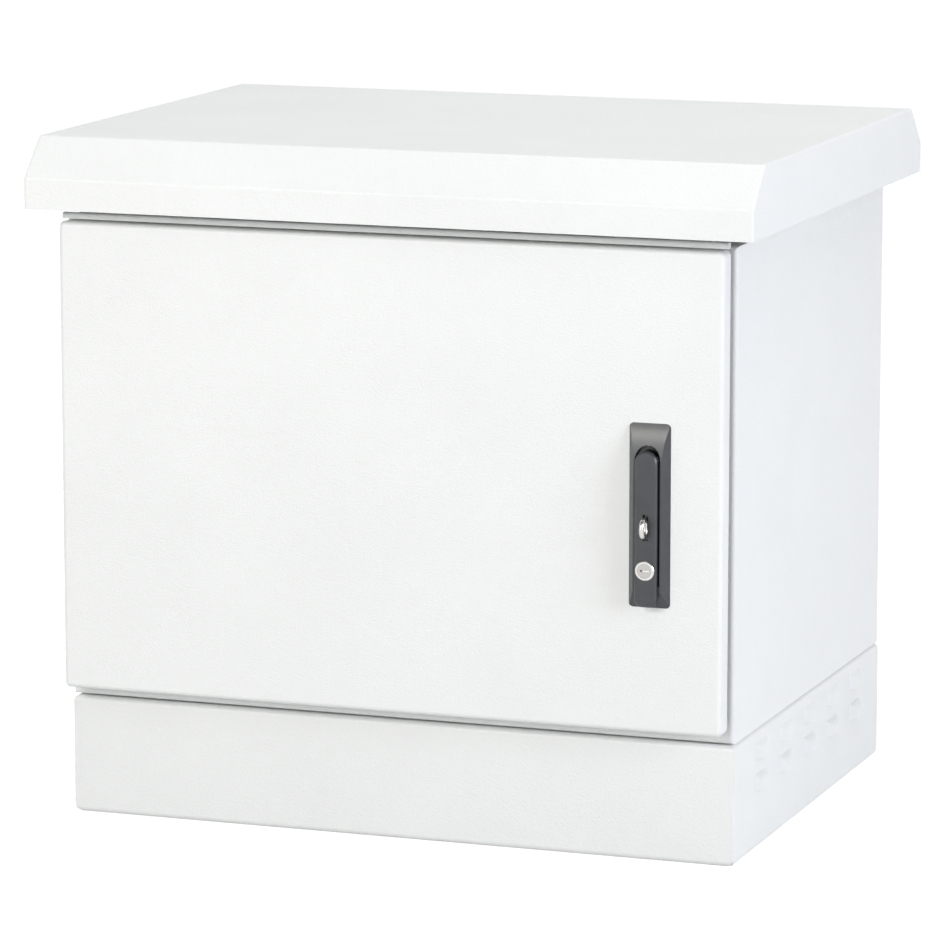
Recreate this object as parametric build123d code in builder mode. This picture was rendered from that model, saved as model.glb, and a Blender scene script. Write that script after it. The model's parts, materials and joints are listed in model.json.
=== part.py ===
from build123d import *
import os

os.makedirs("parts", exist_ok=True)

# A small outdoor cabinet for roadside equipment. Millimetres. The origin is the middle of
# the base on the ground. X runs across the front, Y from the door to the back, Z up.

# Welded body of folded sheet
body_width = 600.0
body_depth = 450.0
body_height = 418.5
sheet = 1.5
fold_radius = 4.0
front_flange = 28.0
rear_flange = 20.0
lip_height = 15.0
sheet_gap = 0.3

# Plinth
plinth_height = 104.0
plinth_seam = 1.5
plinth_fold_radius = 5.0
plinth_flange = 45.0
plinth_corner_round = 8.0
bracket_leg = 30.0
bracket_sheet = 2.0
anchor_inset = 25.0
anchor_row_inset = 45.0
anchor_hole_radius = 6.5
body_bolt_inset = 30.0
body_bolt_radius = 4.0
spacer_side = 24.0

# Hooded louvres pressed into the plinth's side panels
louvre_columns = 5
louvre_pitch = 73.0
louvre_lines = (79.0, 52.0)
louvre_width = 33.0
louvre_height = 14.0
louvre_depth = 5.5
louvre_wall = 1.2
louvre_bulge_radius = 16.0
louvre_end_slope = 1.6

# Canopy over the body
canopy_side_overhang = 24.0
canopy_front_overhang = 37.0
canopy_gap = 9.0
canopy_lip = 27.0
canopy_chamfer = 33.0
canopy_fold_radius = 3.0
canopy_end_radius = 2.0

# Slotted strips that carry the canopy and let air through
strip_setback = 4.0
strip_flange = 20.0
strip_fold_radius = 3.0
slot_pitch = 64.4
slot_length = 33.5
slot_height = 12.0
slots_across = 8
slots_deep = 5
canopy_screw_radius = 3.0
screw_hole_clearance = 0.2
canopy_screw_tab = 2
canopy_side_tab = 1.5

# Vent slots through the body's top, under the canopy
vent_slot_length = 60.0
vent_slot_pitch = 80.0
vent_slot_width = 6.0
vent_rows = 5
vent_pitch = 14.0
vent_bank_offset = 110.0

# Cable entry in the body's floor
gland_width = 300.0
gland_depth = 110.0
gland_centre_y = 110.0
gland_lap = 18.0
gland_corner = 4.0
gland_plate_thickness = 2.0
gland_screw_radius = 2.5

# Door: a folded pan
door_margin = 3.2
door_rise = 11.0
door_drop = 1.5
door_offset = 27.0
door_return = 17.0
door_corner = 5.0
gasket_width = 11.0
gasket_corner = 2.0
strip_width = 26.0
strip_depth = 9.5
strip_length = 330.0
strip_x = 185.0
strip_hole = 6.0
strip_hole_pitch = 25.0

# Concealed hinges, two, inside the door's left edge
hinge_inset = 10.0
hinge_set_in = 8.0
hinge_from_end = 80.0
hinge_barrel_radius = 4.2
hinge_pin_radius = 2.5
hinge_running_clearance = 0.05
bracket_height = 40.0
knuckle_gap = 0.5
knuckle_height = 10.0
leaf_height = 92.0
leaf_thickness = 2.0
leaf_width = 13.0
leaf_shift = 0.9
hinge_arm = 3.0
foot_thickness = 2.5
foot_width = 21.0
foot_shift = 0.3
countersink_radius = 4.5
leaf_stud_spread = 38.0
leaf_nut_radius = 4.6
leaf_nut_height = 4.0
notch_clearance = 3.0
notch_stub = 4.5
bracket_screw_radius = 2.5
bracket_screw_shift = 3.5
bracket_screw_spread = 12.0
stud_radius = 2.5

# Swing handle on the door
handle_inset = 66.0
handle_z = 300.5
handle_width = 36.0
handle_length = 155.0
ridge_height = 8.0
ridge_width = 24.5
ridge_top_slope = 20.0
ridge_bottom_slope = 14.0
handle_corner = 4.0
channel_width = 22.0
channel_floor = 1.0
hub_rise = 47.5
pivot_height = 6.0
lever_under = 8.3
lever_face = 12.6
lever_width = 19.3
lever_top_reach = 7.9
lever_length = 130.6
lever_end_corner = 6.0
lever_chamfer = 1.2
lever_pocket_half = 6.2
lever_pocket_roof = 10.3
lug_thickness = 2.7
lug_radius = 3.2
pivot_clearance = 0.05
channel_end = 105.5
rotor_disc_rise = 0.3
rotor_disc_thickness = 1.2
web_half = 3.5
web_start = 3.0
web_end = 9.0
carrier_floor = 8.4
carrier_thickness = 1.2
carrier_start = 4.6
carrier_end = 69.0
pocket_above = 5.2
pocket_below = 70.0
pivot_pin_radius = 1.75
boss_half = 4.0
rotor_disc_radius = 10.0
rotor_shaft_radius = 6.0
shaft_running_clearance = 0.06
carrier_half = 5.5
staple_drop = 55.6
staple_length = 18.7
staple_thickness = 3.0
staple_hole_radius = 4.0
staple_reach = 12.0
slot_half = 11.0
slot_half_width = 2.4
cam_thickness = 3.0
cam_width = 20.0
cam_clearance = 2.0
cam_setback = 1.0
cam_bolt_radius = 2.5
cam_bolt_head = 3.0
tenon = 8.0
handle_screw_spread = 62.0
handle_screw_radius = 2.5
handle_screw_depth = 4.5
handle_boss_radius = 9.0
clamp_thickness = 2.0
clamp_width = 30.0
clamp_length = 144.0

# Lock cylinder in the lever
lock_drop = 91.7
lock_radius = 8.3
lock_proud = 1.8
plug_radius = 6.2
plug_clearance = 0.05
plug_flange_radius = 7.4
keyway_width = 1.8
keyway_length = 8.0
keyway_depth = 3.0
plug_setback = 0.3
plug_flange_thickness = 1.0
ring_rise = 1.9
ring_chamfer = 0.6
lug_sink = 1.0
ridge_corner = 1.0
cam_bolt_length = 13.0

# Nineteen inch rack rails, nine units high
rack_units = 9
unit = 44.45
rack_opening = 450.0
rack_hole_spacing = 465.1
rack_hole = 9.5
rail_sheet = 2.0
rail_flange = 21.0
rail_depth = 30.0
rail_setback = 60.0
support_height = 25.0
support_rise = 34.0
support_overlap = 5.0
rail_screw_radius = 2.5
rail_screw_inset = 15.0
rail_fold_radius = 3.0
rack_hole_step = 15.875

# Small fasteners
screw_head_height = 3.3
screw_head_overhang = 2.2
nut_height = 5.0
nut_radius = 5.7
thread_end = 1.0
thread_reach = 4.0
bolt_head_radius = 7.5
bolt_head_height = 5.3
bolt_nut_height = 6.5

# Places worked out from the sizes above
half_width = body_width / 2
canopy_width = body_width + 2 * canopy_side_overhang
canopy_depth = body_depth + 2 * canopy_front_overhang
door_width = body_width - 2 * door_margin
door_height = body_height - door_rise - door_drop
handle_x = half_width - handle_inset
front = -body_depth / 2
rear = body_depth / 2
body_bottom = plinth_height + plinth_seam
body_top = body_bottom + body_height
opening_half = half_width - front_flange
opening_bottom = body_bottom + front_flange
opening_top = body_top - front_flange
canopy_bottom = body_top + canopy_gap
canopy_top = canopy_bottom + canopy_lip + canopy_chamfer
door_bottom = body_bottom + door_rise
door_top = door_bottom + door_height
door_face = front - door_offset
door_inner = door_face + sheet
door_half = door_width / 2
hub_z = handle_z + hub_rise
hinge_x = -door_half + hinge_inset
hinge_y = door_face + hinge_set_in
hinge_centres = (door_bottom + hinge_from_end, door_top - hinge_from_end)
bracket_screw_x = hinge_x - bracket_screw_shift
bracket_screws = [
    (bracket_screw_x, centre + side * bracket_screw_spread) for centre in hinge_centres for side in (-1, 1)
]
strip_face = half_width - strip_setback
strip_face_y = rear - strip_setback
strip_half_x = slot_pitch * (slots_across + 1) / 2 - slot_length / 2
strip_half_y = slot_pitch * (slots_deep + 1) / 2 - slot_length / 2
canopy_screw_places = [
    (side * canopy_screw_tab * slot_pitch, end * (strip_face_y - strip_flange / 2))
    for side in (-1, 1)
    for end in (-1, 1)
] + [
    (side * (strip_face - strip_flange / 2), end * canopy_side_tab * slot_pitch)
    for side in (-1, 1)
    for end in (-1, 1)
]
gland_screws = [
    (column * (gland_width + gland_lap) / 2, gland_centre_y + row * (gland_depth + gland_lap) / 2)
    for column in (-1, 1)
    for row in (-1, 1)
]
bolt_x = half_width - body_bolt_inset
bolt_y = rear - body_bolt_inset
rail_side = rack_opening / 2 + rail_flange
rail_length = rack_units * unit
rail_bottom = (body_bottom + body_top - rail_length) / 2
rail_screw_y = rear - rail_setback - rail_screw_inset
support_levels = (body_bottom + sheet + support_rise, body_top - sheet - support_rise)
handle_plane = Plane(origin=(handle_x, door_face, handle_z), x_dir=(1, 0, 0), z_dir=(0, -1, 0))
hub_plane = Plane(origin=(handle_x, door_face, hub_z), x_dir=(1, 0, 0), z_dir=(0, -1, 0))


def save(piece, name):
    """Label one finished piece and write it."""
    piece.part.label = name
    export_step(piece.part, "parts/" + name + ".step")


def folded_sheet(points, thickness, outside_radius, side):
    """Section of a bent sheet whose outer face follows the points."""
    with BuildSketch(mode=Mode.PRIVATE) as section:
        with BuildLine():
            outer = FilletPolyline(*points, radius=outside_radius)
            offset(outer, amount=thickness, side=side)
        make_face()
    return section.sketch_local


# The body's side panels: one bent sheet each, mitred to the top and the floor
for hand, name in ((-1, "side_panel_left"), (1, "side_panel_right")):
    with BuildPart() as side_panel:
        with BuildSketch(Plane.XY.offset(body_bottom)):
            corners = [
                (hand * opening_half, front),
                (hand * half_width, front),
                (hand * half_width, rear),
                (hand * (half_width - rear_flange), rear),
            ]
            add(folded_sheet(corners, sheet, fold_radius, Side.LEFT if hand > 0 else Side.RIGHT))
        extrude(amount=body_height)
        split(
            bisect_by=Plane(origin=(hand * half_width, 0, body_top), z_dir=(-hand, 0, 1)),
            keep=Keep.BOTTOM,
        )
        split(
            bisect_by=Plane(origin=(hand * half_width, 0, body_bottom), z_dir=(-hand, 0, -1)),
            keep=Keep.BOTTOM,
        )
        # Sealing lip, turned forward at the doorway's edge
        with BuildSketch(Plane.XY.offset(opening_bottom - sheet)):
            with Locations((hand * (opening_half + sheet / 2), front - lip_height / 2)):
                Rectangle(sheet, lip_height)
        extrude(amount=opening_top - opening_bottom + 2 * sheet)
        if hand < 0:
            with BuildSketch(Plane.XZ.offset(-front)):
                with Locations(*bracket_screws):
                    Circle(bracket_screw_radius + screw_hole_clearance)
            extrude(amount=-sheet, mode=Mode.SUBTRACT)
    save(side_panel, name)

# Top and floor of the body
with BuildPart() as body_top_panel:
    with BuildSketch(Plane.YZ.offset(-half_width)):
        corners = [
            (front, opening_top),
            (front, body_top),
            (rear, body_top),
            (rear, body_top - rear_flange),
        ]
        add(folded_sheet(corners, sheet, fold_radius, Side.RIGHT))
    extrude(amount=body_width)
    for hand in (-1, 1):
        split(
            bisect_by=Plane(origin=(hand * half_width, 0, body_top), z_dir=(-hand, 0, 1)),
            keep=Keep.TOP,
        )
    with BuildSketch(Plane.XY.offset(opening_top)):
        with Locations((0, front - lip_height / 2)):
            Rectangle(2 * opening_half, lip_height)
    extrude(amount=sheet)
    with BuildSketch(Plane.XY.offset(body_top - sheet)):
        with Locations(*canopy_screw_places):
            Circle(canopy_screw_radius + screw_hole_clearance)
    extrude(amount=sheet, mode=Mode.SUBTRACT)
    # Two banks of vent slots
    with BuildSketch(Plane.XY.offset(body_top - sheet)):
        for bank in (-1, 1):
            with Locations((bank * vent_bank_offset, 0)):
                with GridLocations(vent_slot_pitch, vent_pitch, 2, vent_rows):
                    Rectangle(vent_slot_length, vent_slot_width)
    extrude(amount=sheet, mode=Mode.SUBTRACT)
save(body_top_panel, "body_top_panel")

with BuildPart() as body_floor:
    with BuildSketch(Plane.YZ.offset(-half_width)):
        corners = [
            (front, opening_bottom),
            (front, body_bottom),
            (rear, body_bottom),
            (rear, body_bottom + rear_flange),
        ]
        add(folded_sheet(corners, sheet, fold_radius, Side.LEFT))
    extrude(amount=body_width)
    for hand in (-1, 1):
        split(
            bisect_by=Plane(origin=(hand * half_width, 0, body_bottom), z_dir=(-hand, 0, -1)),
            keep=Keep.TOP,
        )
    with BuildSketch(Plane.XY.offset(opening_bottom - sheet)):
        with Locations((0, front - lip_height / 2)):
            Rectangle(2 * opening_half, lip_height)
    extrude(amount=sheet)
    with BuildSketch(Plane.XY.offset(body_bottom)):
        with Locations((0, gland_centre_y)):
            RectangleRounded(gland_width, gland_depth, gland_corner)
        with Locations(*gland_screws):
            Circle(gland_screw_radius)
        with GridLocations(2 * bolt_x, 2 * bolt_y, 2, 2):
            Circle(body_bolt_radius + screw_hole_clearance)
    extrude(amount=sheet, mode=Mode.SUBTRACT)
save(body_floor, "body_floor")

# Rear panel, welded inside the rear flanges
rear_panel_inset = fold_radius + sheet_gap
with BuildPart() as rear_panel:
    with BuildSketch(Plane.XZ.offset(-(rear - sheet))):
        with Locations((0, (body_bottom + body_top) / 2)):
            Rectangle(body_width - 2 * rear_panel_inset, body_height - 2 * rear_panel_inset)
    extrude(amount=sheet)
save(rear_panel, "rear_panel")

# Canopy: one folded sheet with welded ends, open below
with BuildPart() as canopy:
    with BuildSketch(Plane.YZ):
        with BuildLine():
            Polyline(
                (-canopy_depth / 2, canopy_bottom),
                (-canopy_depth / 2, canopy_bottom + canopy_lip),
                (-canopy_depth / 2 + canopy_chamfer, canopy_top),
                (canopy_depth / 2 - canopy_chamfer, canopy_top),
                (canopy_depth / 2, canopy_bottom + canopy_lip),
                (canopy_depth / 2, canopy_bottom),
                close=True,
            )
        make_face()
    extrude(amount=canopy_width / 2, both=True)
    lip_middle_height = canopy_bottom + canopy_lip / 2
    folds = canopy.edges().filter_by(Axis.X).filter_by(lambda edge: edge.center().Z > lip_middle_height)
    fillet(folds, radius=canopy_fold_radius)
    end_edges = canopy.faces().filter_by(Axis.X).edges()
    fillet(end_edges.filter_by(lambda edge: edge.center().Z > canopy_bottom), radius=canopy_end_radius)
    offset(amount=-sheet, openings=canopy.faces().sort_by(Axis.Z)[0])
save(canopy, "canopy")

# Slotted strips between the body's top and the canopy: front and rear, then the two sides
strip_top = canopy_top - sheet
for end, name in ((-1, "canopy_strip_front"), (1, "canopy_strip_rear")):
    with BuildPart() as canopy_strip:
        with BuildSketch(Plane.YZ.offset(-strip_half_x)):
            corners = [
                (end * (strip_face_y - strip_flange), body_top),
                (end * strip_face_y, body_top),
                (end * strip_face_y, strip_top),
                (end * (strip_face_y - strip_flange), strip_top),
            ]
            add(folded_sheet(corners, sheet, strip_fold_radius, Side.LEFT if end > 0 else Side.RIGHT))
        extrude(amount=2 * strip_half_x)
        with BuildSketch(Plane.XY.offset(body_top)):
            with Locations((0, end * (strip_face_y - strip_fold_radius / 2))):
                with GridLocations(slot_pitch, 0, slots_across, 1):
                    Rectangle(slot_length, strip_fold_radius)
        extrude(amount=slot_height, mode=Mode.SUBTRACT)
        with BuildSketch(Plane.XY.offset(body_top)):
            with Locations(*canopy_screw_places):
                Circle(canopy_screw_radius)
        extrude(amount=sheet, mode=Mode.SUBTRACT)
    save(canopy_strip, name)
for hand, name in ((-1, "canopy_strip_left"), (1, "canopy_strip_right")):
    with BuildPart() as canopy_strip:
        with BuildSketch(Plane.XZ.offset(-strip_half_y)):
            corners = [
                (hand * (strip_face - strip_flange), body_top),
                (hand * strip_face, body_top),
                (hand * strip_face, strip_top),
                (hand * (strip_face - strip_flange), strip_top),
            ]
            add(folded_sheet(corners, sheet, strip_fold_radius, Side.LEFT if hand > 0 else Side.RIGHT))
        extrude(amount=2 * strip_half_y)
        with BuildSketch(Plane.XY.offset(body_top)):
            with Locations((hand * (strip_face - strip_fold_radius / 2), 0)):
                with GridLocations(0, slot_pitch, 1, slots_deep):
                    Rectangle(strip_fold_radius, slot_length)
        extrude(amount=slot_height, mode=Mode.SUBTRACT)
        with BuildSketch(Plane.XY.offset(body_top)):
            with Locations(*canopy_screw_places):
                Circle(canopy_screw_radius)
        extrude(amount=sheet, mode=Mode.SUBTRACT)
    save(canopy_strip, name)

# Screws up through the body's top, threaded into the strips' feet
with BuildPart() as canopy_screws:
    with BuildSketch(Plane.XY.offset(body_top - sheet)):
        with Locations(*canopy_screw_places):
            RegularPolygon(canopy_screw_radius + screw_head_overhang, 6)
    extrude(amount=-screw_head_height)
    with BuildSketch(Plane.XY.offset(body_top - sheet)):
        with Locations(*canopy_screw_places):
            Circle(canopy_screw_radius)
    extrude(amount=2 * sheet + thread_reach)
save(canopy_screws, "canopy_screws")

# Plinth: four folded panels, mitred at the corners
plinth_section = [(plinth_flange, plinth_height), (0, plinth_height), (0, 0), (plinth_flange, 0)]


def plinth_mitre(hand, end):
    """Upright mitre plane at one corner, facing away from the front or rear panel."""
    return Plane(origin=(hand * half_width, end * rear, 0), z_dir=(hand, -end, 0))


for end, name in ((-1, "plinth_front"), (1, "plinth_rear")):
    with BuildPart() as plinth_panel:
        with BuildSketch(Plane.YZ.offset(-half_width)):
            corners = [(end * (rear - inward), height) for inward, height in plinth_section]
            add(folded_sheet(corners, sheet, plinth_fold_radius, Side.RIGHT if end > 0 else Side.LEFT))
        extrude(amount=body_width)
        for hand in (-1, 1):
            split(bisect_by=plinth_mitre(hand, end), keep=Keep.BOTTOM)
        with BuildSketch(Plane.XY.offset(plinth_height - sheet)):
            with GridLocations(2 * bolt_x, 2 * bolt_y, 2, 2):
                Circle(body_bolt_radius + screw_hole_clearance)
        extrude(amount=sheet, mode=Mode.SUBTRACT)
        # Rounded lower corners
        with BuildSketch(Plane.XZ.offset(-end * rear)):
            with Locations((-half_width, 0), (half_width, 0)):
                Rectangle(2 * plinth_corner_round, 2 * plinth_corner_round)
            with Locations(
                (-half_width + plinth_corner_round, plinth_corner_round),
                (half_width - plinth_corner_round, plinth_corner_round),
            ):
                Circle(plinth_corner_round, mode=Mode.SUBTRACT)
        extrude(amount=end * plinth_corner_round, mode=Mode.SUBTRACT)
    save(plinth_panel, name)


def louvre_form(width, height, depth, root):
    """Form of one louvre along +X: a rounded hood with sloping ends, rooted behind the sheet's face."""
    with BuildPart() as form:
        with BuildSketch(Plane.XZ.offset(-width / 2)):
            with BuildLine():
                Polyline((0, height), (-root, height), (-root, 0), (depth, 0))
                RadiusArc((0, height), (depth, 0), louvre_bulge_radius)
            make_face()
        extrude(amount=width)
        for end in (-1, 1):
            split(
                bisect_by=Plane(origin=(0, end * width / 2, 0), z_dir=(louvre_end_slope, end, 0)),
                keep=Keep.BOTTOM,
            )
    return form.part


# One louvre's outer form, and the hollow that opens it downwards and through the sheet
hood = louvre_form(louvre_width, louvre_height, louvre_depth, sheet / 2)
louvre_end_wall = louvre_wall * (1 + louvre_end_slope**2) ** 0.5
hood_hollow = louvre_form(
    louvre_width - 2 * louvre_end_wall, louvre_height - louvre_wall, louvre_depth - louvre_wall, 2 * sheet
)

for hand, name in ((-1, "plinth_left"), (1, "plinth_right")):
    turn = 0 if hand > 0 else 180
    louvre_places = [
        (hand * half_width, (column - (louvre_columns - 1) / 2) * louvre_pitch, line)
        for column in range(louvre_columns)
        for line in louvre_lines
    ]
    with BuildPart() as plinth_panel:
        with BuildSketch(Plane.XZ.offset(-rear)):
            corners = [(hand * (half_width - inward), height) for inward, height in plinth_section]
            add(folded_sheet(corners, sheet, plinth_fold_radius, Side.RIGHT if hand > 0 else Side.LEFT))
        extrude(amount=body_depth)
        for end in (-1, 1):
            split(bisect_by=plinth_mitre(hand, end), keep=Keep.TOP)
        # Rounded lower corners
        with BuildSketch(Plane.YZ.offset(hand * half_width)):
            with Locations((front, 0), (rear, 0)):
                Rectangle(2 * plinth_corner_round, 2 * plinth_corner_round)
            with Locations(
                (front + plinth_corner_round, plinth_corner_round),
                (rear - plinth_corner_round, plinth_corner_round),
            ):
                Circle(plinth_corner_round, mode=Mode.SUBTRACT)
        extrude(amount=-hand * plinth_corner_round, mode=Mode.SUBTRACT)
        for place in louvre_places:
            with Locations(Location(place, (0, 0, turn))):
                add(hood)
                add(hood_hollow, mode=Mode.SUBTRACT)
        # Holes for the body's bolts above and for ground anchors below
        with BuildSketch(Plane.XY.offset(plinth_height - sheet)):
            with GridLocations(2 * bolt_x, 2 * bolt_y, 2, 2):
                Circle(body_bolt_radius + screw_hole_clearance)
        extrude(amount=sheet, mode=Mode.SUBTRACT)
        with BuildSketch(Plane.XY):
            with GridLocations(2 * (half_width - anchor_inset), 2 * (rear - anchor_row_inset), 2, 2):
                Circle(anchor_hole_radius)
        extrude(amount=sheet, mode=Mode.SUBTRACT)
    save(plinth_panel, name)

# Angle brackets in the plinth's corners
bracket_clear = plinth_fold_radius + sheet_gap
for end, end_name in ((-1, "front"), (1, "rear")):
    for hand, hand_name in ((-1, "left"), (1, "right")):
        with BuildPart() as plinth_bracket:
            with BuildSketch(Plane.XY.offset(bracket_clear)):
                inner_x = half_width - sheet
                inner_y = rear - sheet
                corners = [
                    (hand * (inner_x - bracket_leg), end * inner_y),
                    (hand * inner_x, end * inner_y),
                    (hand * inner_x, end * (inner_y - bracket_leg)),
                ]
                inside = Side.RIGHT if hand * end > 0 else Side.LEFT
                add(folded_sheet(corners, bracket_sheet, fold_radius, inside))
            extrude(amount=plinth_height - 2 * bracket_clear)
        save(plinth_bracket, "plinth_bracket_" + end_name + "_" + hand_name)

# Spacers between plinth and body, with the bolts through them
with BuildPart() as body_spacers:
    with BuildSketch(Plane.XY.offset(plinth_height)):
        with GridLocations(2 * bolt_x, 2 * bolt_y, 2, 2):
            Rectangle(spacer_side, spacer_side)
            Circle(body_bolt_radius + screw_hole_clearance, mode=Mode.SUBTRACT)
    extrude(amount=plinth_seam)
save(body_spacers, "body_spacers")

bolt_stack = 2 * sheet + plinth_seam
with BuildPart() as body_bolts:
    with BuildSketch(Plane.XY.offset(body_bottom + sheet)):
        with GridLocations(2 * bolt_x, 2 * bolt_y, 2, 2):
            RegularPolygon(bolt_head_radius, 6)
    extrude(amount=bolt_head_height)
    with BuildSketch(Plane.XY.offset(body_bottom + sheet)):
        with GridLocations(2 * bolt_x, 2 * bolt_y, 2, 2):
            Circle(body_bolt_radius)
    extrude(amount=-(bolt_stack + bolt_nut_height + thread_end))
save(body_bolts, "body_bolts")

with BuildPart() as body_bolt_nuts:
    with BuildSketch(Plane.XY.offset(plinth_height - sheet)):
        with GridLocations(2 * bolt_x, 2 * bolt_y, 2, 2):
            RegularPolygon(bolt_head_radius, 6)
            Circle(body_bolt_radius, mode=Mode.SUBTRACT)
    extrude(amount=-bolt_nut_height)
save(body_bolt_nuts, "body_bolt_nuts")

# Cover plate of the cable entry, screwed down inside the floor
with BuildPart() as gland_plate:
    with BuildSketch(Plane.XY.offset(body_bottom + sheet)):
        with Locations((0, gland_centre_y)):
            Rectangle(gland_width + 2 * gland_lap, gland_depth + 2 * gland_lap)
        with Locations(*gland_screws):
            Circle(gland_screw_radius + screw_hole_clearance, mode=Mode.SUBTRACT)
    extrude(amount=gland_plate_thickness)
save(gland_plate, "gland_plate")

with BuildPart() as gland_plate_screws:
    with BuildSketch(Plane.XY.offset(body_bottom + sheet + gland_plate_thickness)):
        with Locations(*gland_screws):
            RegularPolygon(gland_screw_radius + screw_head_overhang, 6)
    extrude(amount=screw_head_height)
    with BuildSketch(Plane.XY.offset(body_bottom + sheet + gland_plate_thickness)):
        with Locations(*gland_screws):
            Circle(gland_screw_radius)
    extrude(amount=-(gland_plate_thickness + sheet + thread_reach))
save(gland_plate_screws, "gland_plate_screws")

# Channels on the side walls that carry the rack rails, with their screws along X
support_half = rear - rail_setback + support_overlap
for hand, hand_name in ((-1, "left"), (1, "right")):
    for level, rise, level_name in zip(support_levels, (1, -1), ("lower", "upper")):
        with BuildPart() as rail_support:
            with BuildSketch(Plane.XZ.offset(-support_half)):
                corners = [
                    (hand * (half_width - sheet), level + rise * support_height),
                    (hand * (half_width - sheet), level),
                    (hand * rail_side, level),
                    (hand * rail_side, level + rise * support_height),
                ]
                inside = Side.RIGHT if hand * rise > 0 else Side.LEFT
                add(folded_sheet(corners, sheet, strip_fold_radius, inside))
            extrude(amount=2 * support_half)
            with BuildSketch(Plane.YZ.offset(hand * rail_side)):
                with Locations(*[(y, level + rise * support_height / 2) for y in (-rail_screw_y, rail_screw_y)]):
                    Circle(rail_screw_radius)
            extrude(amount=hand * sheet, mode=Mode.SUBTRACT)
        save(rail_support, "rail_support_" + level_name + "_" + hand_name)

rail_screw_levels = [
    level + rise * support_height / 2 for level, rise in zip(support_levels, (1, -1))
]
for end, end_name in ((-1, "front"), (1, "rear")):
    for hand, hand_name in ((-1, "left"), (1, "right")):
        with BuildPart() as rack_rail:
            with BuildSketch(Plane.XY.offset(rail_bottom)):
                corners = [
                    (hand * rack_opening / 2, end * (rear - rail_setback)),
                    (hand * rail_side, end * (rear - rail_setback)),
                    (hand * rail_side, end * (rear - rail_setback - rail_depth)),
                ]
                inside = Side.RIGHT if hand * end > 0 else Side.LEFT
                add(folded_sheet(corners, rail_sheet, rail_fold_radius, inside))
            extrude(amount=rail_length)
            # Three square holes in every unit of height
            with BuildSketch(Plane.XZ.offset(-end * (rear - rail_setback))):
                with Locations((hand * rack_hole_spacing / 2, rail_bottom + rail_length / 2)):
                    with GridLocations(0, unit, 1, rack_units):
                        with Locations((0, -rack_hole_step), (0, 0), (0, rack_hole_step)):
                            Rectangle(rack_hole, rack_hole)
            extrude(amount=end * rail_sheet, mode=Mode.SUBTRACT)
            with BuildSketch(Plane.YZ.offset(hand * rail_side)):
                with Locations(*[(end * rail_screw_y, level) for level in rail_screw_levels]):
                    Circle(rail_screw_radius + screw_hole_clearance)
            extrude(amount=-hand * rail_sheet, mode=Mode.SUBTRACT)
        save(rack_rail, "rack_rail_" + end_name + "_" + hand_name)

rail_screw_places = [(end * rail_screw_y, level) for end in (-1, 1) for level in rail_screw_levels]
with BuildPart() as rail_screws:
    for hand in (-1, 1):
        with BuildSketch(Plane.YZ.offset(hand * (rail_side - rail_sheet))):
            with Locations(*rail_screw_places):
                RegularPolygon(rail_screw_radius + screw_head_overhang, 6)
        extrude(amount=-hand * screw_head_height)
        with BuildSketch(Plane.YZ.offset(hand * (rail_side - rail_sheet))):
            with Locations(*rail_screw_places):
                Circle(rail_screw_radius)
        extrude(amount=hand * (rail_sheet + sheet + thread_reach))
save(rail_screws, "rail_screws")

# Door: a folded pan with closed corners, notched for the hinges
with BuildPart() as door_panel:
    with BuildSketch(Plane.XZ.offset(-door_face)):
        with Locations((0, (door_bottom + door_top) / 2)):
            RectangleRounded(door_width, door_height, door_corner)
    extrude(amount=-door_return)
    fillet(door_panel.faces().sort_by(Axis.Y)[0].edges(), radius=fold_radius)
    offset(amount=-sheet, openings=door_panel.faces().sort_by(Axis.Y)[-1])
    with BuildSketch(Plane.XZ.offset(-(door_face + notch_stub))):
        with Locations(*[(-door_half, centre) for centre in hinge_centres]):
            Rectangle(2 * (sheet + sheet_gap), bracket_height + 2 * notch_clearance)
    extrude(amount=-door_return, mode=Mode.SUBTRACT)
    with BuildSketch(handle_plane):
        with Locations((0, hub_rise)):
            Circle(handle_boss_radius + screw_hole_clearance)
        with Locations((0, -handle_screw_spread), (0, handle_screw_spread)):
            Circle(handle_screw_radius + screw_hole_clearance)
    extrude(amount=-sheet, mode=Mode.SUBTRACT)
save(door_panel, "door_panel")

# Foam gasket on the door, pressed by the doorway's lip
gasket_thickness = (front - lip_height - sheet_gap) - door_inner
lip_middle = opening_half + sheet / 2
lip_level_middle = (opening_bottom + opening_top) / 2
lip_level_half = (opening_top - opening_bottom + sheet) / 2
with BuildPart() as door_gasket:
    with BuildSketch(Plane.XZ.offset(-door_inner)):
        with Locations((0, lip_level_middle)):
            RectangleRounded(
                2 * lip_middle + gasket_width, 2 * lip_level_half + gasket_width, gasket_corner + gasket_width
            )
            RectangleRounded(
                2 * lip_middle - gasket_width,
                2 * lip_level_half - gasket_width,
                gasket_corner,
                mode=Mode.SUBTRACT,
            )
    extrude(amount=-gasket_thickness)
save(door_gasket, "door_gasket")

# Perforated stiffening strips inside the door
strip_holes = int(strip_length / strip_hole_pitch) - 1
for hand, name in ((-1, "door_strip_left"), (1, "door_strip_right")):
    with BuildPart() as door_strip:
        with BuildSketch(Plane.XY.offset(lip_level_middle - strip_length / 2)):
            corners = [
                (hand * strip_x - strip_width / 2, door_inner),
                (hand * strip_x - strip_width / 2, door_inner + strip_depth),
                (hand * strip_x + strip_width / 2, door_inner + strip_depth),
                (hand * strip_x + strip_width / 2, door_inner),
            ]
            add(folded_sheet(corners, sheet, strip_fold_radius, Side.RIGHT))
        extrude(amount=strip_length)
        with BuildSketch(Plane.XZ.offset(-(door_inner + strip_depth))):
            with Locations((hand * strip_x, lip_level_middle)):
                with GridLocations(0, strip_hole_pitch, 1, strip_holes):
                    Rectangle(strip_hole, strip_hole)
        extrude(amount=sheet, mode=Mode.SUBTRACT)
    save(door_strip, name)

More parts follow.
